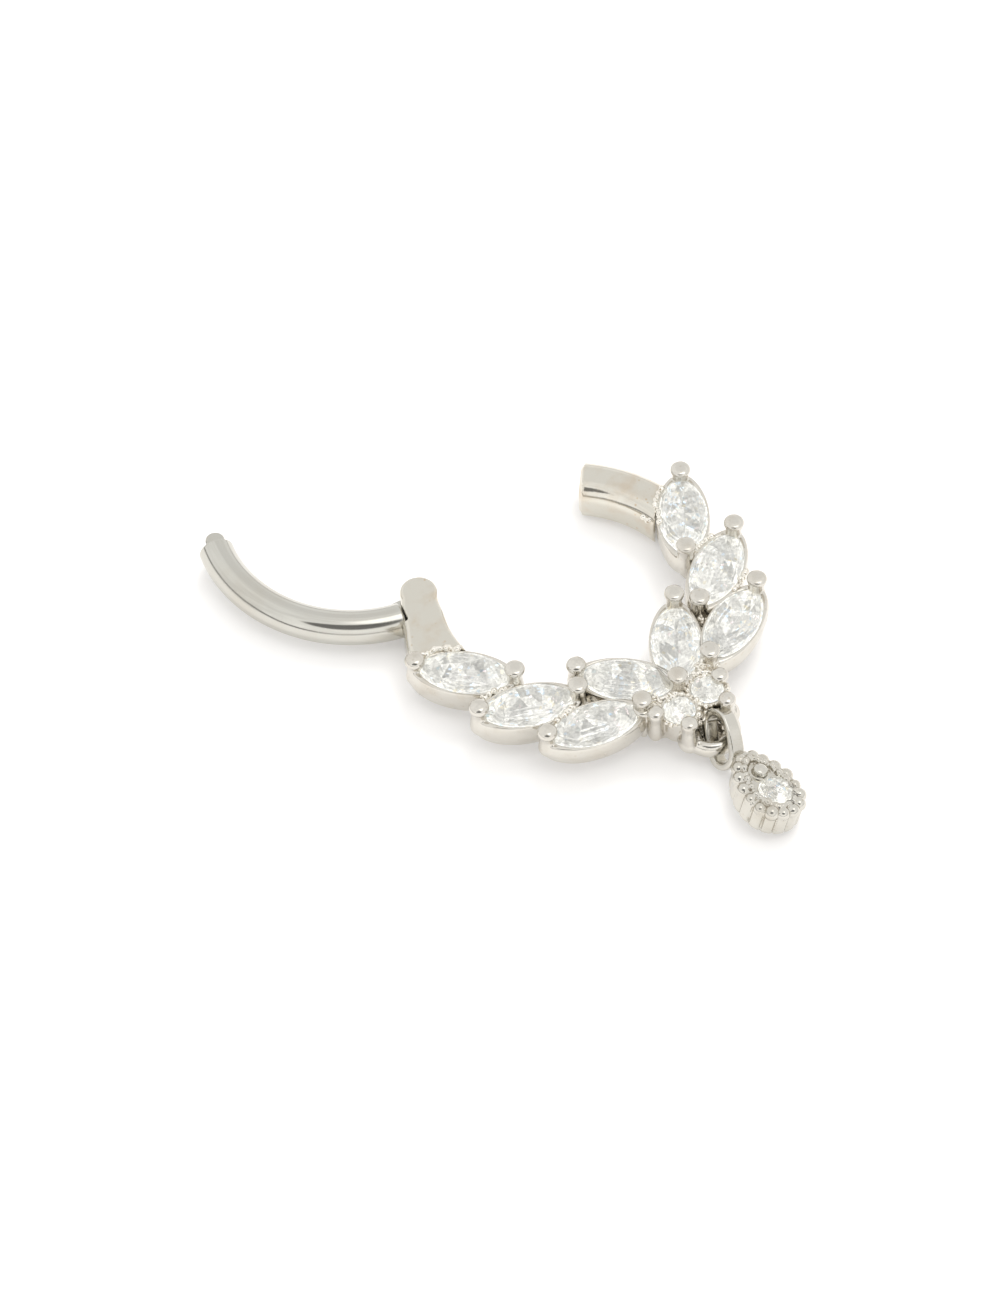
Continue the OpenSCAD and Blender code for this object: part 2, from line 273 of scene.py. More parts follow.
# %% Metals
def metal(name, bright, stained, rough, bump, pits, waves, specks, scales):
    """A plated metal: the group varies its colour, roughness and relief over the surface.

    rough goes from smooth to dull, bump is a strength and a reach in metres, and scales are
    those of the grain, the clouds and the pits.
    """
    made = bpy.data.materials.new(name)
    made.use_nodes = True
    tree = made.node_tree
    shader = tree.nodes["Principled BSDF"]
    cast = node(tree, "ShaderNodeGroup", {
        "Grain Scale": scales[0], "Cloud Scale": scales[1], "Pit Scale": scales[2], "Pit Amount": pits,
        "Wave Amount": waves, "Speck Amount": specks, "Smooth Roughness": rough[0], "Dull Roughness": rough[1],
        "Bright Color": (*bright, 1), "Stain Color": (*stained, 1)}, node_tree=surface)
    relief = node(tree, "ShaderNodeBump",
                  {"Strength": bump[0], "Distance": bump[1], "Height": cast.outputs["Height"]})
    shader.inputs["Metallic"].default_value = 1.0
    for output, socket in ((cast.outputs["Color"], "Base Color"), (cast.outputs["Roughness"], "Roughness"),
                           (relief.outputs[0], "Normal")):
        tree.links.new(output, shader.inputs[socket])
    print("metal", name)
    return made


bar_metal = metal("polished_bar", bright=(0.59, 0.58, 0.535), stained=(0.53, 0.495, 0.425), rough=(0.09, 0.2),
                  bump=(0.3, 0.000005), pits=0.1, waves=1.5, specks=0.15, scales=(14000, 500, 6000))
shoulder_metal = metal("polished_casting", bright=(0.70, 0.675, 0.605), stained=(0.60, 0.47, 0.33),
                       rough=(0.1, 0.22), bump=(0.4, 0.000007), pits=0.3, waves=3.0, specks=0.7,
                       scales=(9000, 1300, 5200))
cup_metal = metal("cast_cups", bright=(0.68, 0.655, 0.60), stained=(0.56, 0.50, 0.41), rough=(0.12, 0.3),
                  bump=(0.65, 0.000012), pits=0.5, waves=2.2, specks=0.5, scales=(8000, 1400, 5200))
drop_metal = metal("cast_drop", bright=(0.635, 0.615, 0.56), stained=(0.52, 0.47, 0.385), rough=(0.12, 0.3),
                   bump=(0.5, 0.000012), pits=0.5, waves=2.0, specks=0.5, scales=(8000, 1100, 5200))
solder_metal = metal("rough_solder", bright=(0.88, 0.85, 0.78), stained=(0.46, 0.38, 0.28), rough=(0.06, 0.35),
                     bump=(0.8, 0.00003), pits=1.0, waves=1.5, specks=1.0, scales=(6000, 2200, 7000))


# %% [markdown]
# ## The cut stones' material
# The stones are a hard, clear crystal that bends light far more than window glass does. Light
# that enters the top is turned back by the facets underneath, so almost none shows through.
# Two finishes make that safe in any renderer: clear glass for the top, and bright mirror
# facets below it with a painted glow, broken up by a fine relief of smaller cuts. The keel gets
# painted shade, a little darker, and a few tinted cells are painted glints for the fire, the blue
# and yellow. Each facet also carries a painted brightness of its own, given when it is cut, a
# painted reflection of the different part of the room that each facet of a real stone turns back.

# %% Node group for cut stone and its painted light
# painted shade on the keel: below the first height the facets keep only the keel share of their brightness
keel_z, full_z = 0.0009, 0.00135  # heights above the table, in metres, between which the keel fades out
cuts_and_painted_light = bpy.data.node_groups.new("stone_cuts_and_painted_light", "ShaderNodeTree")
cuts_and_painted_light.interface.new_socket("Plain Color", in_out="INPUT", socket_type="NodeSocketColor")
for name, value in (("Glint Share", 0.1), ("Glint Scale", 9000.0), ("Keel Share", 1.0)):
    cuts_and_painted_light.interface.new_socket(name, in_out="INPUT", socket_type="NodeSocketFloat").default_value = value
for name in ("Color", "Painted Glow Color"):
    cuts_and_painted_light.interface.new_socket(name, in_out="OUTPUT", socket_type="NodeSocketColor")
cuts_and_painted_light.interface.new_socket("Height", in_out="OUTPUT", socket_type="NodeSocketFloat")


def scaled(tree, color, factor):
    return node(tree, "ShaderNodeVectorMath", {0: color, "Scale": factor}, operation="SCALE").outputs[0]


given = node(cuts_and_painted_light, "NodeGroupInput").outputs
place = node(cuts_and_painted_light, "ShaderNodeTexCoord").outputs["Object"]
# painted reflection: the brightness each facet was given when it was cut
facet_light = node(cuts_and_painted_light, "ShaderNodeAttribute", attribute_name="facet_light").outputs["Fac"]
# painted glints: a few cells tinted blue, yellow or pink for the fire
glints = voronoi(cuts_and_painted_light, place, given["Glint Scale"], "Color")
chance, kind, tint = node(cuts_and_painted_light, "ShaderNodeSeparateColor", {0: glints}).outputs
warm = blend(cuts_and_painted_light, ramp(cuts_and_painted_light, tint, 0.48, 0.52), (1, 0.9, 0.66, 1), (1, 0.82, 0.86, 1))
painted_fire = blend(cuts_and_painted_light, ramp(cuts_and_painted_light, kind, 0.5, 0.55), (0.6, 0.78, 1, 1), warm)
rare = plus(cuts_and_painted_light, chance, given["Glint Share"])
color = blend(cuts_and_painted_light, ramp(cuts_and_painted_light, rare, 1.0, 1.04), given["Plain Color"], painted_fire)
above_table = node(cuts_and_painted_light, "ShaderNodeSeparateXYZ", {0: place}).outputs[2]
# painted shade: the keel is darker
keel_shade = ramp(cuts_and_painted_light, above_table, keel_z, full_z, given["Keel Share"], 1.0)
# painted sparkle: the facet brightness varied from cell to cell, for the glow and the base colour
painted_sparkle = times(cuts_and_painted_light, facet_light, ramp(cuts_and_painted_light, tint, 0.0, 1.0, 0.86, 1.2))
node(cuts_and_painted_light, "NodeGroupOutput", {"Color": scaled(cuts_and_painted_light, color, times(cuts_and_painted_light, painted_sparkle, keel_shade)),
                               "Painted Glow Color": scaled(cuts_and_painted_light, (1.0, 0.99, 0.94), painted_sparkle),
                               "Height": voronoi(cuts_and_painted_light, place, 7500.0)})
print("node group", cuts_and_painted_light.name, "with", len(cuts_and_painted_light.nodes), "nodes")


# %% Stone materials
def stone_with_painted_light(name, plain, glint_share, glint_scale, keel_share):
    """A new material and its stone group, which already feeds the base colour with painted glints, facet brightness
    and keel shade.
    """
    made = bpy.data.materials.new(name)
    made.use_nodes = True
    tree = made.node_tree
    shader = tree.nodes["Principled BSDF"]
    group = node(tree, "ShaderNodeGroup", {"Plain Color": (*plain, 1), "Glint Share": glint_share,
                                           "Glint Scale": glint_scale, "Keel Share": keel_share}, node_tree=cuts_and_painted_light)
    tree.links.new(group.outputs["Color"], shader.inputs["Base Color"])
    return made, tree, shader, group


# clear glass top; its colour carries the painted glints and painted facet brightness of the group
stone, _, shader, _ = stone_with_painted_light("cut_stone", (1.0, 1.0, 1.0), 0.05, 9000.0, 1.0)
shader.inputs["Transmission Weight"].default_value = 1.0
shader.inputs["IOR"].default_value = 1.9
shader.inputs["Roughness"].default_value = 0.0


def back_facets(name, brightness, painted_glow, keel_share):
    """The mirror facets under a stone, with a painted glow of their own, and painted shade on the keel, which keeps
    keel_share of the brightness.
    """
    plain = (brightness, brightness * 0.995, brightness * 0.95)
    made, tree, shader, group = stone_with_painted_light(name, plain, 0.1, 10000.0, keel_share)
    shader.inputs["Metallic"].default_value = 1.0
    shader.inputs["Roughness"].default_value = 0.03
    relief = node(tree, "ShaderNodeBump", {"Strength": 0.6, "Distance": 0.00004, "Height": group.outputs["Height"]})
    tree.links.new(relief.outputs[0], shader.inputs["Normal"])
    # painted glow: the facets give light of their own, for the light a real stone turns back
    tree.links.new(group.outputs["Painted Glow Color"], shader.inputs["Emission Color"])
    shader.inputs["Emission Strength"].default_value = painted_glow
    return made


# painted glow and painted keel shade for each kind of stone
marquise_back = back_facets("marquise_back_facets", brightness=0.42, painted_glow=0.44, keel_share=0.68)
round_back = back_facets("round_back_facets", brightness=0.42, painted_glow=0.42, keel_share=0.9)
drop_back = back_facets("drop_back_facets", brightness=0.75, painted_glow=0.3, keel_share=1.0)
print("stone finishes", stone.name, marquise_back.name, round_back.name, drop_back.name)


# %% [markdown]
# ## Shaping tools
# Most of this ring is turned or drawn: a prong is a profile spun round its axis, a cup is a
# leaf-shaped outline drawn upwards in rings. The helpers below do just these two things with
# bmesh operators. Soldered and cast pieces are then fused with a voxel remesh and relaxed a
# little, which gives the soft inner corners that molten metal has.

# %% Helpers for drawing and turning
def only(made, kind):
    return [item for item in made if isinstance(item, kind)]


def chain(bm, points, closed=False):
    """A line of edges through a few profile points."""
    verts = [bm.verts.new(point) for point in points]
    pairs = list(zip(verts, verts[1:])) + ([(verts[-1], verts[0])] if closed else [])
    return verts, [bm.edges.new(pair) for pair in pairs]


def turned(bm, profile, centre=(0, 0, 0), steps=32, axis=UP, closed=False):
    """A round body: a profile of (radius, height) pairs spun once round an axis through centre."""
    centre = Vector(centre)
    side = axis.orthogonal().normalized()
    points = [centre + radius * side + height * axis for radius, height in profile]
    verts, edges = chain(bm, points, closed)
    before = set(bm.verts) - set(verts)
    bmesh.ops.spin(bm, geom=verts + edges, cent=centre, axis=axis, dvec=(0, 0, 0), angle=2 * math.pi,
                   steps=steps, use_merge=True)
    bmesh.ops.remove_doubles(bm, verts=[v for v in bm.verts if v not in before], dist=1e-4)


def ring_points(bm, count, shape, z, turn=0.0):
    """A ring of corner points, shaped by a function of its angle."""
    start = Matrix.Rotation(turn, 4, "Z")
    made = bmesh.ops.create_circle(bm, segments=count, radius=1, matrix=start)["verts"]
    for v in made:
        v.co = shape(math.atan2(v.co.y, v.co.x)).to_3d() + Vector((0, 0, z))
    return made


def leaf_shape(half_length, half_width, sharp):
    """The outline of a leaf as a function of angle: sharp 1 is an ellipse, 2 has two pointed tips."""
    def shape(angle):
        across = math.sin(angle)
        away = math.copysign(half_width * abs(across) ** sharp, across)
        return Vector((half_length * math.cos(angle), away))
    return shape


def circle_shape(radius, x=0.0, y=0.0):
    return lambda angle: Vector((x + radius * math.sin(angle), y - radius * math.cos(angle)))


def shell(bm, levels, count):
    """Bridges rings, given as (shape, height), from the first to the last, and returns these two."""
    loops = []
    for shape, z in levels:
        loops.append(list({e for v in ring_points(bm, count, shape, z) for e in v.link_edges}))
    for lower, upper in zip(loops, loops[1:]):
        bmesh.ops.bridge_loops(bm, edges=lower + upper)
    return loops[0], loops[-1]


def moved(bm, matrix, since=()):
    """Moves what was added to a bmesh since a set of vertices was noted."""
    known = set(since)
    bmesh.ops.transform(bm, matrix=matrix, verts=[v for v in bm.verts if v not in known])


def block(bm, centre, size, place=Matrix.Identity(4)):
    """A box round a centre, in the frame of a matrix."""
    bmesh.ops.create_cube(bm, size=1, matrix=place @ Matrix.Translation(centre) @ Matrix.Diagonal((*size, 1)))


def slab(x0, x1, y0, y1, z0, z1, place=Matrix.Identity(4)):
    """A new bmesh with one box between two corners, in the frame of a matrix."""
    bm = bmesh.new()
    block(bm, ((x0 + x1) / 2, (y0 + y1) / 2, (z0 + z1) / 2), (x1 - x0, y1 - y0, z1 - z0), place)
    return bm


def crumb(bm, radius, place):
    """A tiny ball of metal."""
    bmesh.ops.create_icosphere(bm, subdivisions=2, radius=radius, matrix=Matrix.Translation(place))


# %% Helpers for finished pieces
def note_hollows(bm):
    """Gives each corner point a value for how sharp a hollow it lies in, from the lie of its neighbours."""
    hollow = bm.verts.layers.float.new("hollow")
    bm.normal_update()
    for v in bm.verts:
        ways = [e.other_vert(v).co - v.co for e in v.link_edges]
        v[hollow] = sum(way.dot(v.normal) for way in ways) / max(1e-9, sum(way.length for way in ways))


def shown(name, bm, *materials, crisp=None):
    """Makes the finished object from a bmesh in millimetres.

    crisp is the angle in degrees from which edges stay sharp, 0 for flat faces, None for a soft skin.
    """
    bmesh.ops.remove_doubles(bm, verts=bm.verts[:], dist=1e-5)
    bmesh.ops.recalc_face_normals(bm, faces=bm.faces[:])
    if crisp is None:
        note_hollows(bm)
    bmesh.ops.scale(bm, vec=(MM, MM, MM), verts=bm.verts[:])
    for face in bm.faces:
        face.smooth = crisp != 0
    if crisp:
        for edge in bm.edges:
            edge.smooth = len(edge.link_faces) == 2 and edge.calc_face_angle(0) < math.radians(crisp)
    mesh = bpy.data.meshes.new(name)
    bm.to_mesh(mesh)
    bm.free()
    for material in materials:
        mesh.materials.append(material)
    obj = bpy.data.objects.new(name, mesh)
    bpy.context.collection.objects.link(obj)
    return obj


def worked(bm, modifiers):
    """Runs modifiers over a bmesh in millimetres and returns the result as a new bmesh."""
    mesh = bpy.data.meshes.new("blank")
    bm.to_mesh(mesh)
    blank = bpy.data.objects.new("blank", mesh)
    bpy.context.collection.objects.link(blank)
    for kind, settings in modifiers:
        modifier = blank.modifiers.new(kind.lower(), kind)
        for name, value in settings.items():
            setattr(modifier, name, value)
    bpy.context.view_layer.update()
    made = bpy.data.meshes.new_from_object(blank.evaluated_get(bpy.context.evaluated_depsgraph_get()))
    bpy.data.objects.remove(blank)
    bpy.data.meshes.remove(mesh)
    result = bmesh.new()
    result.from_mesh(made)
    bpy.data.meshes.remove(made)
    bm.free()
    return result


def fused(bm, voxel, relax):
    """Joins overlapping closed shells into one skin and softens it, as solder and casting do."""
    return worked(bm, [("REMESH", dict(mode="VOXEL", voxel_size=voxel, use_smooth_shade=True)),
                       ("SMOOTH", dict(factor=0.5, iterations=relax))])


def cut(bm, cutters):
    """A closed bmesh without the room that some other closed ones take."""
    tools = []
    for cutter in cutters:
        bmesh.ops.recalc_face_normals(cutter, faces=cutter.faces[:])
        mesh = bpy.data.meshes.new("cutter")
        cutter.to_mesh(mesh)
        cutter.free()
        tool = bpy.data.objects.new("cutter", mesh)
        bpy.context.collection.objects.link(tool)
        tools.append(tool)
    bmesh.ops.recalc_face_normals(bm, faces=bm.faces[:])
    result = worked(bm, [("BOOLEAN", dict(object=tool, operation="DIFFERENCE", solver="EXACT")) for tool in tools])
    for tool in tools:
        bpy.data.objects.remove(tool)
    return result


def joined(target, other):
    """Adds another bmesh's shells to this one."""
    mesh = bpy.data.meshes.new("shells")
    other.to_mesh(mesh)
    other.free()
    target.from_mesh(mesh)
    bpy.data.meshes.remove(mesh)
    return target


pieces = []


def place_on(obj, body, nodes):
    """Rides a piece on its body, hides the CAD nodes it stands for and adds it to the list of pieces."""
    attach(obj, body)
    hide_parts(*nodes)
    pieces.append(obj)
    print(obj.name, "faces", len(obj.data.polygons))


# %% [markdown]
# ## The marquise cups
# Each leaf is a cup for one marquise stone. On the real ring the cups are cast with their
# prongs: a thin wall with a rounded belly, and a short post at each tip that widens into the
# wall below and has a flat, slightly spread head where it was pushed over the stone. The cup
# is a row of rings bridged one to the next and closed on itself, so that it is open at the
# back. The posts are spun, and the remesh melts all of it together.

# %% Cups of the left and right rows
girdle_z = 1.55
Leaf = namedtuple("Leaf", "x y turn bottom prongs")  # for the right side; each prong is an end and a top
leaves = [
    Leaf(4.91, -0.31, 51.0, 0.35, ((-1, 2.24), (1, 2.06))),
    Leaf(4.23, -2.74, 27.5, 0.35, ((-1, 2.24), (1, 2.18))),
    Leaf(3.11, -4.79, 19.8, 0.5, ((-1, 2.2), (1, 2.18))),
    Leaf(1.11, -4.14, 49.8, 0.5, ((1, 2.24),)),
]
prong_reach = 1.69
prong_top = 2.24
plain_edge, worn_edge = 0.07, 0.115


def prong(bm, x, y, foot_z, top_z, neck=0.265, head=0.345, foot=0.31, soft=plain_edge):
    """A post with a spread head; soft is how far its edge is rounded."""
    post = [(0, foot_z), (foot - 0.16, foot_z), (foot - 0.06, foot_z + 0.1), (foot, foot_z + 0.26),
            (foot, top_z - 1.0), (neck + 0.01, top_z - 0.7), (neck, top_z - 0.5), (neck + 0.025, top_z - 0.34)]
    top = [(head, top_z - 2.1 * soft), (head + 0.005, top_z - 1.5 * soft),
           (head - 0.3 * soft, top_z - 0.65 * soft), (head - 1.2 * soft, top_z - 0.1 * soft),
           (head - 2.3 * soft, top_z + 0.012), (0, top_z + 0.025)]
    turned(bm, post + top, centre=(x, y, 0), steps=32)


def leaf_place(leaf, side):
    """Where a leaf stands: its own X axis runs along the stone."""
    place = Matrix.Translation((leaf.x, leaf.y, 0)) @ Matrix.Rotation(math.radians(leaf.turn), 4, "Z")
    return Matrix.Scale(-1, 4, (1, 0, 0)) @ place if side == "left" else place


def leaf_cup(bottom, prongs, soft):
    """The wall from its underside, out to the belly, in to the rim, and down inside to the underside."""
    bm = bmesh.new()
    rim = girdle_z + 0.02
    levels = [  # half length, half width, sharpness, height
        (1.15, 0.5, 1.0, bottom), (1.42, 0.66, 1.0, bottom + 0.03), (1.66, 0.79, 1.0, bottom + 0.14),
        (1.83, 0.87, 1.0, bottom + 0.34), (1.92, 0.905, 1.0, bottom + 0.56), (1.93, 0.915, 1.03, rim - 0.38),
        (1.88, 0.915, 1.07, rim - 0.12), (1.83, 0.905, 1.1, rim - 0.03), (1.75, 0.89, 1.15, rim),
        (1.61, 0.853, 1.22, rim), (1.57, 0.82, 1.24, rim - 0.08), (1.4, 0.7, 1.3, rim - 0.32),
        (1.05, 0.4, 1.3, bottom + 0.16), (1.05, 0.4, 1.2, bottom + 0.02)]
    first, last = shell(bm, [(leaf_shape(a, b, sharp), z) for a, b, sharp, z in levels], 80)
    bmesh.ops.bridge_loops(bm, edges=first + last)
    for end, top in prongs:
        prong(bm, end * prong_reach, 0, bottom + 0.32, top, soft=soft if end > 0 else plain_edge)
    return bm


for side in ("left", "right"):
    for number, leaf in enumerate(leaves, 1):
        bm = leaf_cup(leaf.bottom, leaf.prongs, worn_edge if side == "left" else plain_edge)
        moved(bm, leaf_place(leaf, side))
        cup = shown(f"cup_{side}_{number}", fused(bm, voxel=0.035, relax=2), cup_metal)
        place_on(cup, "ring", ["ring_frame"])


# %% [markdown]
# ## The marquise stones
# A marquise brilliant has a flat table, a crown of slanting facets down to the girdle, and a
# pavilion that narrows to a keel. A convex hull round a few outlines cuts just such facets,
# and flat shading keeps every edge between them sharp, as a cutter's wheel does.

# %% Marquise stones
cutter = random.Random(3)
girdle_low = -0.02  # the girdle's underside, below its own plane
uneven = 0.012


def cut_gem(bm, half_length, half_width, sharp, sides, rings):
    """The convex hull of rings of corners: (count factor, share of length, share of width, height, turn)."""
    step = math.pi / sides
    for count, length, width, z, turn in rings:
        outline = leaf_shape(half_length * length, half_width * width, sharp)
        for v in ring_points(bm, int(count * sides), outline, z, turn * step):
            if z < girdle_low or z > 0.01:
                v.co += uneven * Vector([cutter.uniform(-1, 1) for _ in range(3)])
    bmesh.ops.delete(bm, geom=bm.edges[:], context="EDGES_FACES")
    bmesh.ops.convex_hull(bm, input=bm.verts[:])
    bmesh.ops.delete(bm, geom=[v for v in bm.verts if not v.link_faces], context="VERTS")
    bmesh.ops.recalc_face_normals(bm, faces=bm.faces[:])
    # painted reflection: each facet gets a brightness of its own, as if it turned back its own part of the room; the
    # table a fixed one
    facet_light = bm.faces.layers.float.new("facet_light")
    for face in bm.faces:
        below = face.calc_center_median().z < girdle_low
        face.material_index = 1 if below else 0
        table = face.normal.z > 0.97
        face[facet_light] = cutter.uniform(0.72, 1.4) if below else 0.955 if table else cutter.uniform(0.92, 1.0)


marquise_cut = [(1, 0.6, 0.5, 0.25, 1), (1, 0.83, 0.78, 0.15, 0), (2, 1, 1, 0, 0.5), (2, 1, 1, girdle_low, 0.5),
                (2, 0.86, 0.78, -0.24, 0), (1, 0.7, 0.5, -0.46, 1), (0.5, 0.45, 0.08, -0.7, 0)]
for side in ("left", "right"):
    for number, leaf in enumerate(leaves, 1):
        bm = bmesh.new()
        cut_gem(bm, 1.6, 0.85, 1.22, 18, marquise_cut)
        moved(bm, leaf_place(leaf, side) @ Matrix.Translation((0, 0, girdle_z)))
        gem = shown(f"marquise_stone_{side}_{number}", bm, stone, marquise_back, crisp=0)
        place_on(gem, "ring", [f"leaf_stone_{side}_{number}"])


# %% [markdown]
# ## The two round stones and the middle of the ring
# Where the rows meet sit two round stones in plain collets, held by small prongs, with one
# larger prong between the rows. Low webs of metal close the gaps, and the round wire loop
# for the drop is soldered below. All this is one casting, so it is fused as one, and then the
# rooms under the stones are cut free, so that nothing stands inside the clear glass.

# %% Middle casting
seat_at = Vector((0.635, -6.23, 0))
seat_bottom = 0.5
web_low, web_height = 0.5, 0.75


def leaf_void(side, number=1, half_length=1.72, half_width=0.93, low_z=-1.0, high_z=4.0):
    """A block with a cup's outline, to be cut out of the metal beside or under its stone."""
    bm = bmesh.new()
    outline = leaf_shape(half_length, half_width, 1.3)
    low, high = shell(bm, [(outline, low_z), (outline, high_z)], 80)
    bmesh.ops.holes_fill(bm, edges=low + high, sides=0)
    moved(bm, leaf_place(leaves[number - 1], side))
    return bm


bm = bmesh.new()
collet = [(0.3, seat_bottom), (0.56, seat_bottom), (0.61, seat_bottom + 0.08), (0.655, 1.1),
          (0.67, girdle_z - 0.03), (0.65, girdle_z + 0.015), (0.58, girdle_z + 0.015), (0.55, girdle_z - 0.05),
          (0.3, 1.0)]
for way in (-1, 1):
    turned(bm, collet, centre=(way * seat_at.x, seat_at.y, 0), steps=40, closed=True)
for x, y in ((-1.48, -6.0), (-0.95, -7.07), (0.66, -7.16), (1.15, -6.26)):
    prong(bm, x, y, seat_bottom, 2.06, neck=0.25, head=0.3, foot=0.27, soft=0.1)
for way in (-1, 1):
    bmesh.ops.create_uvsphere(bm, u_segments=24, v_segments=14, radius=0.42,
                              matrix=Matrix.Translation((way * 0.85, -7.0, 0.78)))
prong(bm, 0, -5.45, seat_bottom, prong_top)
for x, y in ((-1.84, -5.47), (-1.66, -5.62), (1.84, -5.47), (1.66, -5.62)):
    turned(bm, [(0, 0.45), (0.1, 0.45), (0.13, 0.5), (0.13, 1.4), (0.08, 1.5), (0, 1.5)], centre=(x, y, 0),
           steps=24)
prong(bm, -1.53, -5.4, 0.4, 1.7, foot=0.27)
loop_wire = [(0.79 + 0.23 * math.cos(a * math.pi / 8), 0.68 + 0.33 * math.sin(a * math.pi / 8)) for a in range(16)]
turned(bm, loop_wire, centre=(0, -7.09, 0), steps=48, closed=True)
block(bm, (0, -6.5, 0.75), (0.9, 0.45, 1.1))
block(bm, (0, -5.85, 0.95), (1.0, 0.8, 1.0))
web_points = [(2.74, -3.51), (2.19, -2.85), (1.1, -4.1), (0, -5.4), (0, -6.6), (0.7, -6.5), (1.5, -6.1),
              (1.51, -5.36), (3.1, -4.8)]
for way in (-1, 1):
    verts, edges = chain(bm, [(way * x, y, web_low) for x, y in web_points], closed=True)
    web = bmesh.ops.contextual_create(bm, geom=edges)["faces"]
    raised = bmesh.ops.extrude_face_region(bm, geom=web, use_keep_orig=True)["geom"]
    bmesh.ops.translate(bm, vec=(0, 0, web_height), verts=only(raised, bmesh.types.BMVert))
    block(bm, (way * 3.95, -1.9, 0.8), (0.5, 0.9, 0.6))
    block(bm, (way * 1.05, -5.5, 0.92), (0.9, 0.55, 0.95))

rooms = [leaf_void(side, number, 1.52, 0.8, 0.8, girdle_z) for side in ("left", "right") for number in (3, 4)]
for way in (-1, 1):
    rooms.append(bmesh.new())
    turned(rooms[-1], [(0, 1.02), (0.15, 1.02), (0.53, 1.35), (0.53, girdle_z + 0.2), (0, girdle_z + 0.2)],
           centre=(way * seat_at.x, seat_at.y, 0), steps=40)
middle_casting = shown("middle_casting", cut(fused(bm, voxel=0.035, relax=4), rooms), cup_metal)
place_on(middle_casting, "ring", ["ring_frame"])

# %% Round stones
round_cut = [(1, 0.56, 0.56, 0.16, 1), (1, 0.8, 0.8, 0.1, 0), (2, 1, 1, 0, 0.5), (2, 1, 1, girdle_low, 0.5),
             (2, 0.8, 0.8, -0.15, 0), (1, 0.48, 0.48, -0.34, 1), (0.5, 0.04, 0.04, -0.47, 0)]
for side, way in (("left", -1), ("right", 1)):
    bm = bmesh.new()
    cut_gem(bm, 0.56, 0.56, 1.0, 8, round_cut)
    moved(bm, Matrix.Translation((way * seat_at.x, seat_at.y, girdle_z)) @ Matrix.Rotation(0.2 * way, 4, "Z"))
    gem = shown(f"round_stone_{side}_cut", bm, stone, round_back, crisp=0)
    place_on(gem, "ring", [f"round_stone_{side}"])


# %% [markdown]
# ## The shoulders
# The two plain ends of the ring are cast bars with a soft, pillowed section. The left one
# ends in a round knuckle for the hinge, with a flat slot for the bar's tongue. The right one
# ends square, with a pocket for the nub. Each is a section swept round the ring's centre,
# and the slot, the pocket and the first cup's outline are cut out of it.

# %% Sizes and sections
shoulder_h = 1.65
ring_r = 4.85
pin = Vector((-3.87912, 3.18635, 0))
at_pin = Matrix.Translation(pin)
bar_z = shoulder_h / 2
closed_angle, swing = math.radians(51.04), math.radians(117)
open_angle = closed_angle + swing
bar_centre = Vector((-2.93, 7.73, bar_z))
bar_r, wire_r = 4.88, 0.6
butt_at, free_at = math.radians(-111.1), math.radians(157.2 - 360)
slot_half = 0.32


def pillow(width, height, radius, steps=7):
    """Corner points of a rounded section round its own middle, as (across, up) pairs."""
    points = []
    for corner, (sx, sy) in enumerate(((1, 1), (-1, 1), (-1, -1), (1, -1))):
        for i in range(steps + 1):
            a = math.radians(90 * corner + 90 * i / steps)
            points.append((sx * (width / 2 - radius) + radius * math.cos(a),
                           sy * (height / 2 - radius) + radius * math.sin(a)))
    return points


def swept_shoulder(start, end, steps, inner, outer, radius, end_round=0):
    """The pillowed section swept round the ring's centre between two polar angles, with closed ends."""
    bm = bmesh.new()
    start, end = math.radians(start), math.radians(end)
    out = Vector((math.cos(start), math.sin(start), 0))
    section = pillow(outer - inner, shoulder_h, radius)
    points = [((inner + outer) / 2 + across) * out + (bar_z + up) * UP for across, up in section]
    verts, edges = chain(bm, points, closed=True)
    bmesh.ops.spin(bm, geom=verts + edges, cent=(0, 0, 0), axis=UP, dvec=(0, 0, 0), angle=end - start, steps=steps)
    bmesh.ops.holes_fill(bm, edges=[e for e in bm.edges if len(e.link_faces) == 1], sides=0)
    if end_round:
        cap = max((f for f in bm.faces if len(f.verts) > 4), key=lambda f: f.calc_center_median().y)
        bmesh.ops.bevel(bm, geom=list(cap.edges), offset=end_round, offset_type="OFFSET", segments=5,
                        profile=0.5, affect="EDGES", material=-1)
    return bm


def eased(value, start, end):
    """0 before start, 1 after end, and a soft step between."""
    share = max(0.0, min(1.0, (value - start) / (end - start)))
    return share * share * (3 - 2 * share)


def tongue_room():
    """The flat fan that the bar's tongue sweeps between closed and open."""
    bm = bmesh.new()
    start = Vector((math.cos(closed_angle), math.sin(closed_angle), 0))
    middle, edge = bm.verts.new(pin), bm.verts.new(pin + 1.8 * start)
    line = bm.edges.new((middle, edge))
    bmesh.ops.spin(bm, geom=[middle, edge, line], cent=pin, axis=UP, dvec=(0, 0, 0), angle=swing, steps=24)
    bmesh.ops.remove_doubles(bm, verts=bm.verts[:], dist=1e-4)
    raised = bmesh.ops.extrude_face_region(bm, geom=bm.faces[:], use_keep_orig=True)["geom"]
    bmesh.ops.translate(bm, vec=(0, 0, 2 * slot_half), verts=only(raised, bmesh.types.BMVert))
    moved(bm, Matrix.Translation((0, 0, bar_z - slot_half)))
    return bm


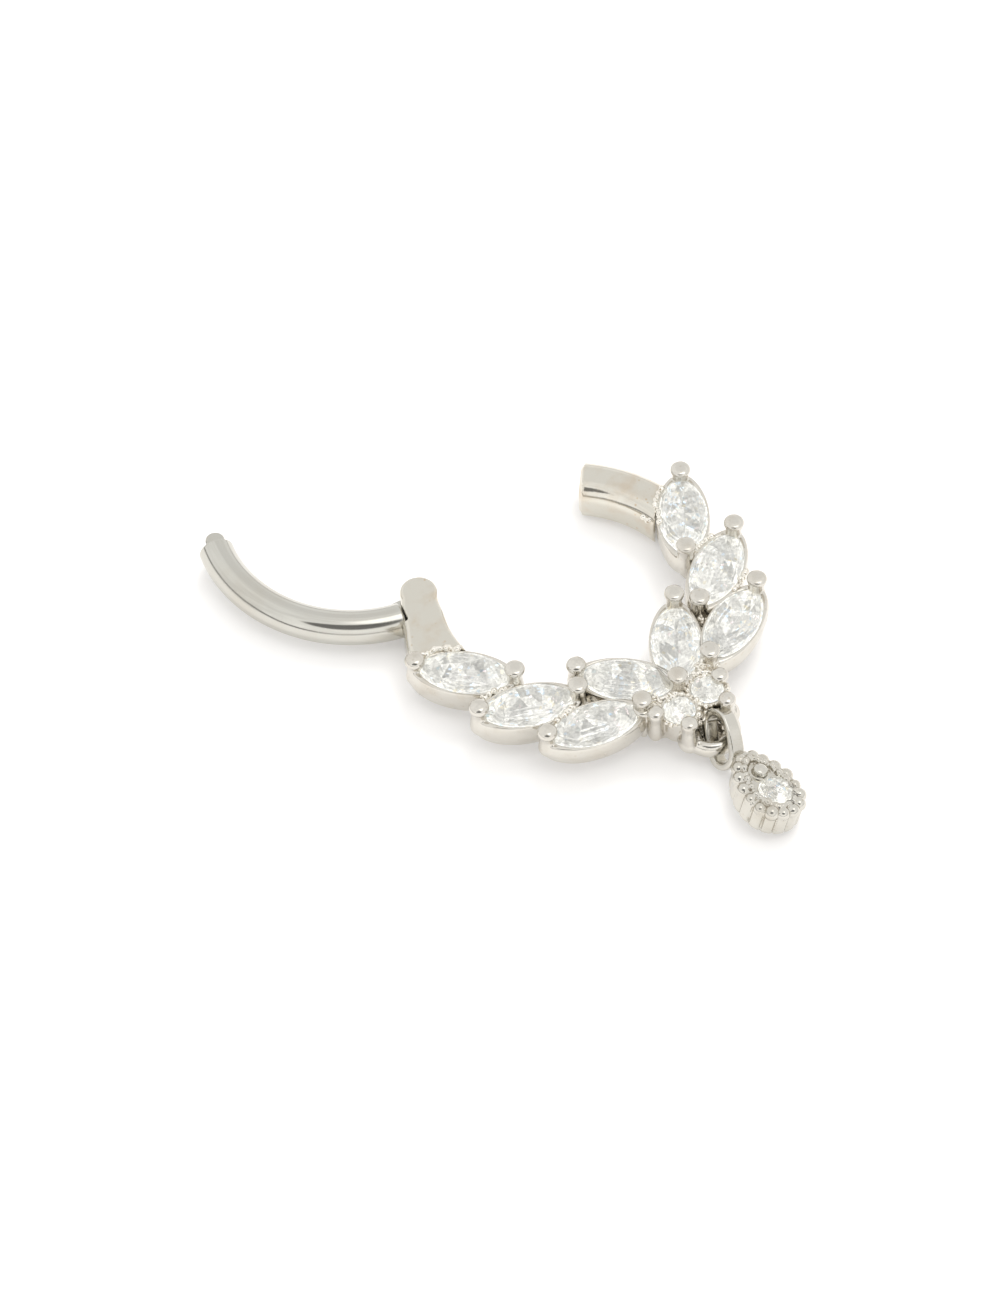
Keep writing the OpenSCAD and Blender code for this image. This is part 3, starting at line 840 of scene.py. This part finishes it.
# %% Hinge shoulder
# An even arm between two round radii is swept first. Then each radius follows the photograph:
# slim at the knuckle and wide at the first cup.
even_in, even_out = 4, 6
arm_start = 140.6
arm = swept_shoulder(arm_start, 176.5, 48, even_in, even_out, 0.24)
for v in arm.verts:
    polar = math.degrees(math.atan2(v.co.y, v.co.x))
    inner = 4.42 - 0.13 * eased(polar, arm_start, 152) - 0.03 * eased(polar, 158, 171)
    outer = 5.66 + 0.07 * eased(polar, 142, 149) + 0.28 * eased(polar, 153, 167)
    share = (v.co.xy.length - even_in) / (even_out - even_in)
    v.co.xy = (inner + (outer - inner) * share) * v.co.xy.normalized()
out = Vector((math.cos(butt_at), math.sin(butt_at), 0))
beside_bar = Matrix.Translation(bar_centre + bar_r * out) @ Matrix.Rotation(butt_at - math.pi / 2, 4, "Z")
arm = cut(arm, [leaf_void("left"), slab(-0.03, 20, -20, 0.63, -3, 3, beside_bar)])

knuckle = bmesh.new()
section = pillow(1.27, shoulder_h, 0.11, 10)
half = [p for p in section if p[0] > 0 > p[1]] + [p for p in section if min(p) > 0]
turned(knuckle, [(0, -bar_z), *half, (0, bar_z)], centre=pin + Vector((0.02, 0.06, bar_z)), steps=64)
hinge = fused(joined(arm, knuckle), voxel=0.035, relax=3)

# The fan, the eye and the mouths differ a little in height, so that no two of their faces coincide.
eye, eye_half, mouth_half = bmesh.new(), slot_half + 0.005, slot_half + 0.01
turned(eye, [(0, -eye_half), (0.46, -eye_half), (0.46, eye_half), (0, eye_half)], centre=pin + bar_z * UP, steps=40)
mouths = [slab(0, 1.8, -0.42, 0.42, bar_z - mouth_half, bar_z + mouth_half, at_pin @ Matrix.Rotation(angle, 4, "Z"))
          for angle in (closed_angle, open_angle)]
hinge_shoulder = shown("hinge_shoulder", cut(hinge, [tongue_room(), eye, *mouths]), shoulder_metal, crisp=40)
place_on(hinge_shoulder, "ring", ["ring_frame"])

# %% Catch shoulder
catch_at = 43.9
catch = swept_shoulder(3.5, catch_at, 56, 4.04, 5.56, 0.52, end_round=0.3)
at_catch = (Matrix.Rotation(math.radians(catch_at), 4, "Z") @ Matrix.Translation((ring_r, 0, 0))
            @ Matrix.Rotation(math.pi / 2, 4, "Z"))
pocket = slab(-0.42, 0.42, -0.42, 0.34, bar_z - 0.56, bar_z + 0.56, at_catch)
catch = cut(catch, [leaf_void("right"), pocket])
catch_shoulder = shown("catch_shoulder", fused(catch, voxel=0.034, relax=7), shoulder_metal)
place_on(catch_shoulder, "ring", ["ring_frame"])


# %% [markdown]
# ## The clicker bar
# The bar is round wire bent to the ring's curve. Its hinge end is turned down to a flat
# tongue with a hole for the pin, and its free end has a flat nub that snaps into the pocket.
# The wire is a circle spun along the curve, with its two ends bevelled. The pin is the packed
# model's own mesh, with the bar's finish.

# %% Clicker bar
tongue_half, stem_half = 0.3, 0.29
bar = bmesh.new()
points = [bar_centre + (bar_r + wire_r * math.cos(i * math.pi / 20)) * out + wire_r * math.sin(i * math.pi / 20) * UP
          for i in range(40)]
verts, edges = chain(bar, points, closed=True)
bmesh.ops.spin(bar, geom=verts + edges, cent=bar_centre, axis=UP, dvec=(0, 0, 0), angle=free_at - butt_at, steps=110)
ends = [e for e in bar.edges if len(e.link_faces) == 1]
bmesh.ops.holes_fill(bar, edges=ends, sides=0)
caps = [f for f in bar.faces if len(f.verts) > 4]
rims = list({e for f in caps for e in f.edges})
bmesh.ops.bevel(bar, geom=rims, offset=0.05, offset_type="OFFSET", segments=2, profile=0.5, affect="EDGES",
                material=-1)

tongue = bmesh.new()
turned(tongue, [(0.21, -tongue_half), (0.37, -tongue_half), (0.4, 0.03 - tongue_half), (0.4, tongue_half - 0.03),
                (0.37, tongue_half), (0.21, tongue_half)], centre=pin + bar_z * UP, steps=48, closed=True)
stem = slab(0.24, 1.1, -0.38, 0.38, bar_z - stem_half, bar_z + stem_half,
            at_pin @ Matrix.Rotation(open_angle, 4, "Z"))
free = bar_centre + bar_r * Vector((math.cos(free_at), math.sin(free_at), 0))
nub = slab(-0.5, 0.05, -0.33, 0.33, -0.46, 0.46)
turned(nub, [(0, -0.52), (0.3, -0.52), (0.33, -0.49), (0.33, 0.49), (0.3, 0.52), (0, 0.52)], centre=(0.05, 0, 0),
       steps=36)
moved(nub, Matrix.Translation(free) @ Matrix.Rotation(free_at - math.pi / 2, 4, "Z"))
for part in (tongue, stem, nub):
    joined(bar, part)
clicker_bar = shown("curved_bar", bar, bar_metal, crisp=24)
place_on(clicker_bar, "bar", ["clicker_bar"])

pin_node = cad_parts["hinge_pin"]
pin_node.data.materials.clear()
pin_node.data.materials.append(bar_metal)
for polygon in pin_node.data.polygons:
    polygon.material_index = 0


# %% [markdown]
# ## The drop
# A small pear-shaped setting hangs from the loop on an oval link. Its side wall is fluted
# like a bundle of rods, each rod ends in a tiny bead on the rim, and one prong stands at the
# narrow end to hold the round stone. It is built flat in its own frame, then laid down as it
# fell: swung a little to the left and rolled on to its right edge.

# %% Drop setting
drop_place = (Matrix.Translation((-0.04, -7.88, 0.255)) @ Matrix.Rotation(math.radians(-10), 4, "Z")
              @ Matrix.Rotation(math.radians(15), 4, "Y"))
drop_middle = Vector((-0.13, -2.34, 0))
drop_seat = Vector((0.0, -2.84, 1.0))
flutes = 17
small_beads = 40


def egg(inset, groove=0.0):
    """The point of the drop's outline at an angle, which runs from the round end."""
    def shape(angle):
        c, s = math.cos(angle), math.sin(angle)
        rib = groove * (1 - abs(math.sin(flutes * angle / 2))) ** 3
        wide = (1.04 - inset - rib) * s * (1 + 0.22 * c)
        return Vector((drop_middle.x + wide, drop_middle.y - (1.5 - inset - rib) * c))
    return shape


bm = bmesh.new()
levels = [(egg(0.12), 0.0), (egg(0.04, 0.05), 0.03), (egg(0.0, 0.12), 0.1), (egg(0.0, 0.12), 0.84),
          (egg(0.04, 0.06), 0.93), (egg(0.1), 0.96), (egg(0.28), 0.97), (egg(0.36), 0.93),
          (circle_shape(0.7, drop_seat.x, drop_seat.y), 0.96), (circle_shape(0.3, drop_seat.x, drop_seat.y), 0.45)]
low, high = shell(bm, levels, 204)
bmesh.ops.holes_fill(bm, edges=low + high, sides=0)
bead_path = egg(0.16)
sprinkle = random.Random(5)
for i in range(flutes):
    at = bead_path(2 * math.pi * (i + 0.5) / flutes)
    bmesh.ops.create_uvsphere(bm, u_segments=16, v_segments=10, radius=sprinkle.uniform(0.21, 0.26),
                              matrix=Matrix.Translation((at.x, at.y, 0.86 + sprinkle.uniform(-0.03, 0.03))))
small_path = egg(0.38)
for i in range(small_beads):
    at = small_path(2 * math.pi * i / small_beads) + 0.04 * Vector((sprinkle.uniform(-1, 1), sprinkle.uniform(-1, 1)))
    crumb(bm, sprinkle.uniform(0.09, 0.15), (at.x, at.y, 0.99 + sprinkle.uniform(-0.04, 0.05)))
turned(bm, [(0, 0.3), (0.19, 0.3), (0.19, 0.75), (0.25, 0.9), (0.27, 1.06), (0.23, 1.18), (0.14, 1.22), (0, 1.24)],
       centre=(-0.12, -1.85, 0), steps=24)

# the link: a round ring of flat wire, stretched to an oval and leant over
known = set(bm.verts)
section = [(0.59 + across, up) for across, up in pillow(0.24, 0.54, 0.07, 4)]
turned(bm, section, steps=56, axis=Vector((1, 0, 0)), closed=True)
for v in bm.verts:
    if v not in known:
        v.co.y += 0.34 * max(-1.0, min(1.0, v.co.y / 0.35))
moved(bm, Matrix.Translation((-0.2, 0.13, 0.635)) @ Matrix.Rotation(math.radians(10), 4, "Y")
      @ Matrix.Rotation(math.radians(34), 4, "X"), known)
moved(bm, drop_place)
drop_setting = shown("drop_setting_cast", fused(bm, voxel=0.0245, relax=2), drop_metal)
place_on(drop_setting, "ring", ["drop_setting"])

# %% Drop stone
bm = bmesh.new()
cut_gem(bm, 0.7, 0.7, 1.0, 8, round_cut)
moved(bm, drop_place @ Matrix.Translation(drop_seat))
drop_gem = shown("drop_stone_cut", bm, stone, drop_back, crisp=0)
place_on(drop_gem, "ring", ["drop_stone"])


# %% [markdown]
# ## Solder and rough beads
# Where a shoulder meets its first cup, and in the narrow gaps between the cups, the metal is
# left as it flowed: a row of tiny uneven beads that catch the light. More of them lie round
# the two small stones, at the foot of the loop and where the bar leaves the hinge. They are
# small spheres scattered along a line with a fixed seed, and fused.

# %% Solder rows
scatter = random.Random(7)


def bead(bm, at, size):
    crumb(bm, size * scatter.uniform(0.55, 1.35), at)


def off(spread):
    return spread * Vector([scatter.uniform(-1, 1) for _ in range(3)])


rows = {  # start, end, height, count
    "left": [((-5.8, 1.16), (-5.0, 1.05), 1.62, 12), ((-5.0, 1.05), (-4.35, 0.5), 1.62, 12),
             ((-5.2, -1.5), (-4.3, -1.68), 1.58, 11), ((-4.0, -3.85), (-3.1, -3.8), 1.58, 11),
             ((-2.07, -3.3), (-1.9, -4.0), 1.0, 6)],
    "right": [((5.3, 1.1), (4.7, 0.85), 1.6, 9), ((4.7, 0.85), (4.1, -0.05), 1.6, 14),
              ((4.13, 0.4), (4.06, 0.85), 1.28, 9), ((4.25, -1.63), (5.1, -1.6), 1.58, 10),
              ((5.0, -3.44), (4.05, -3.84), 1.56, 10), ((4.7, -4.3), (4.5, -4.7), 1.5, 5),
              ((2.75, -3.15), (2.5, -4.0), 1.27, 18)],
}
round_seat = 22
for side, lines in rows.items():
    way = -1 if side == "left" else 1
    bm = bmesh.new()
    for start, end, z, count in lines:
        for i in range(count):
            bead(bm, Vector((*start, z)).lerp(Vector((*end, z)), (i + 0.5) / count) + off(0.05), 0.1)
    for i in range(round_seat):
        at = circle_shape(0.68, way * seat_at.x, seat_at.y)(2 * math.pi * i / round_seat).to_3d()
        bead(bm, at + Vector((0, 0, 1.56)) + off(0.03), 0.085)
    for i in range(30):
        bead(bm, Vector((way * scatter.uniform(0.0, 1.5), scatter.uniform(-5.75, -5.4), 1.45)) + off(0.07), 0.1)
        bead(bm, Vector((way * scatter.uniform(0.9, 1.55), scatter.uniform(-5.75, -5.25), 1.58)) + off(0.06), 0.09)
        bead(bm, Vector((way * scatter.uniform(0.0, 0.55), -6.74, scatter.uniform(0.28, 1.35))) + off(0.05), 0.13)
        bead(bm, Vector((way * scatter.uniform(0.0, 0.55), scatter.uniform(-7.3, -6.8), 0.26)) + off(0.06), 0.13)
    if side == "left":
        beside, bead_r = 0.09 * Vector((-out.y, out.x, 0)), 0.65
        for i in range(12):
            low = scatter.uniform(-0.2, 1.1)
            spot = bar_centre + (bar_r + bead_r * math.cos(low)) * out - bead_r * math.sin(low) * UP
            bead(bm, spot + beside + off(0.02), 0.065)
    solder = shown(f"solder_{side}", fused(bm, voxel=0.0225, relax=1), solder_metal)
    place_on(solder, "ring", ["ring_frame"])


# %% Sizes and finish
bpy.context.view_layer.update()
triangles = sum(len(p.vertices) - 2 for piece in pieces for p in piece.data.polygons)
print("pieces", len(pieces), "triangles", triangles)
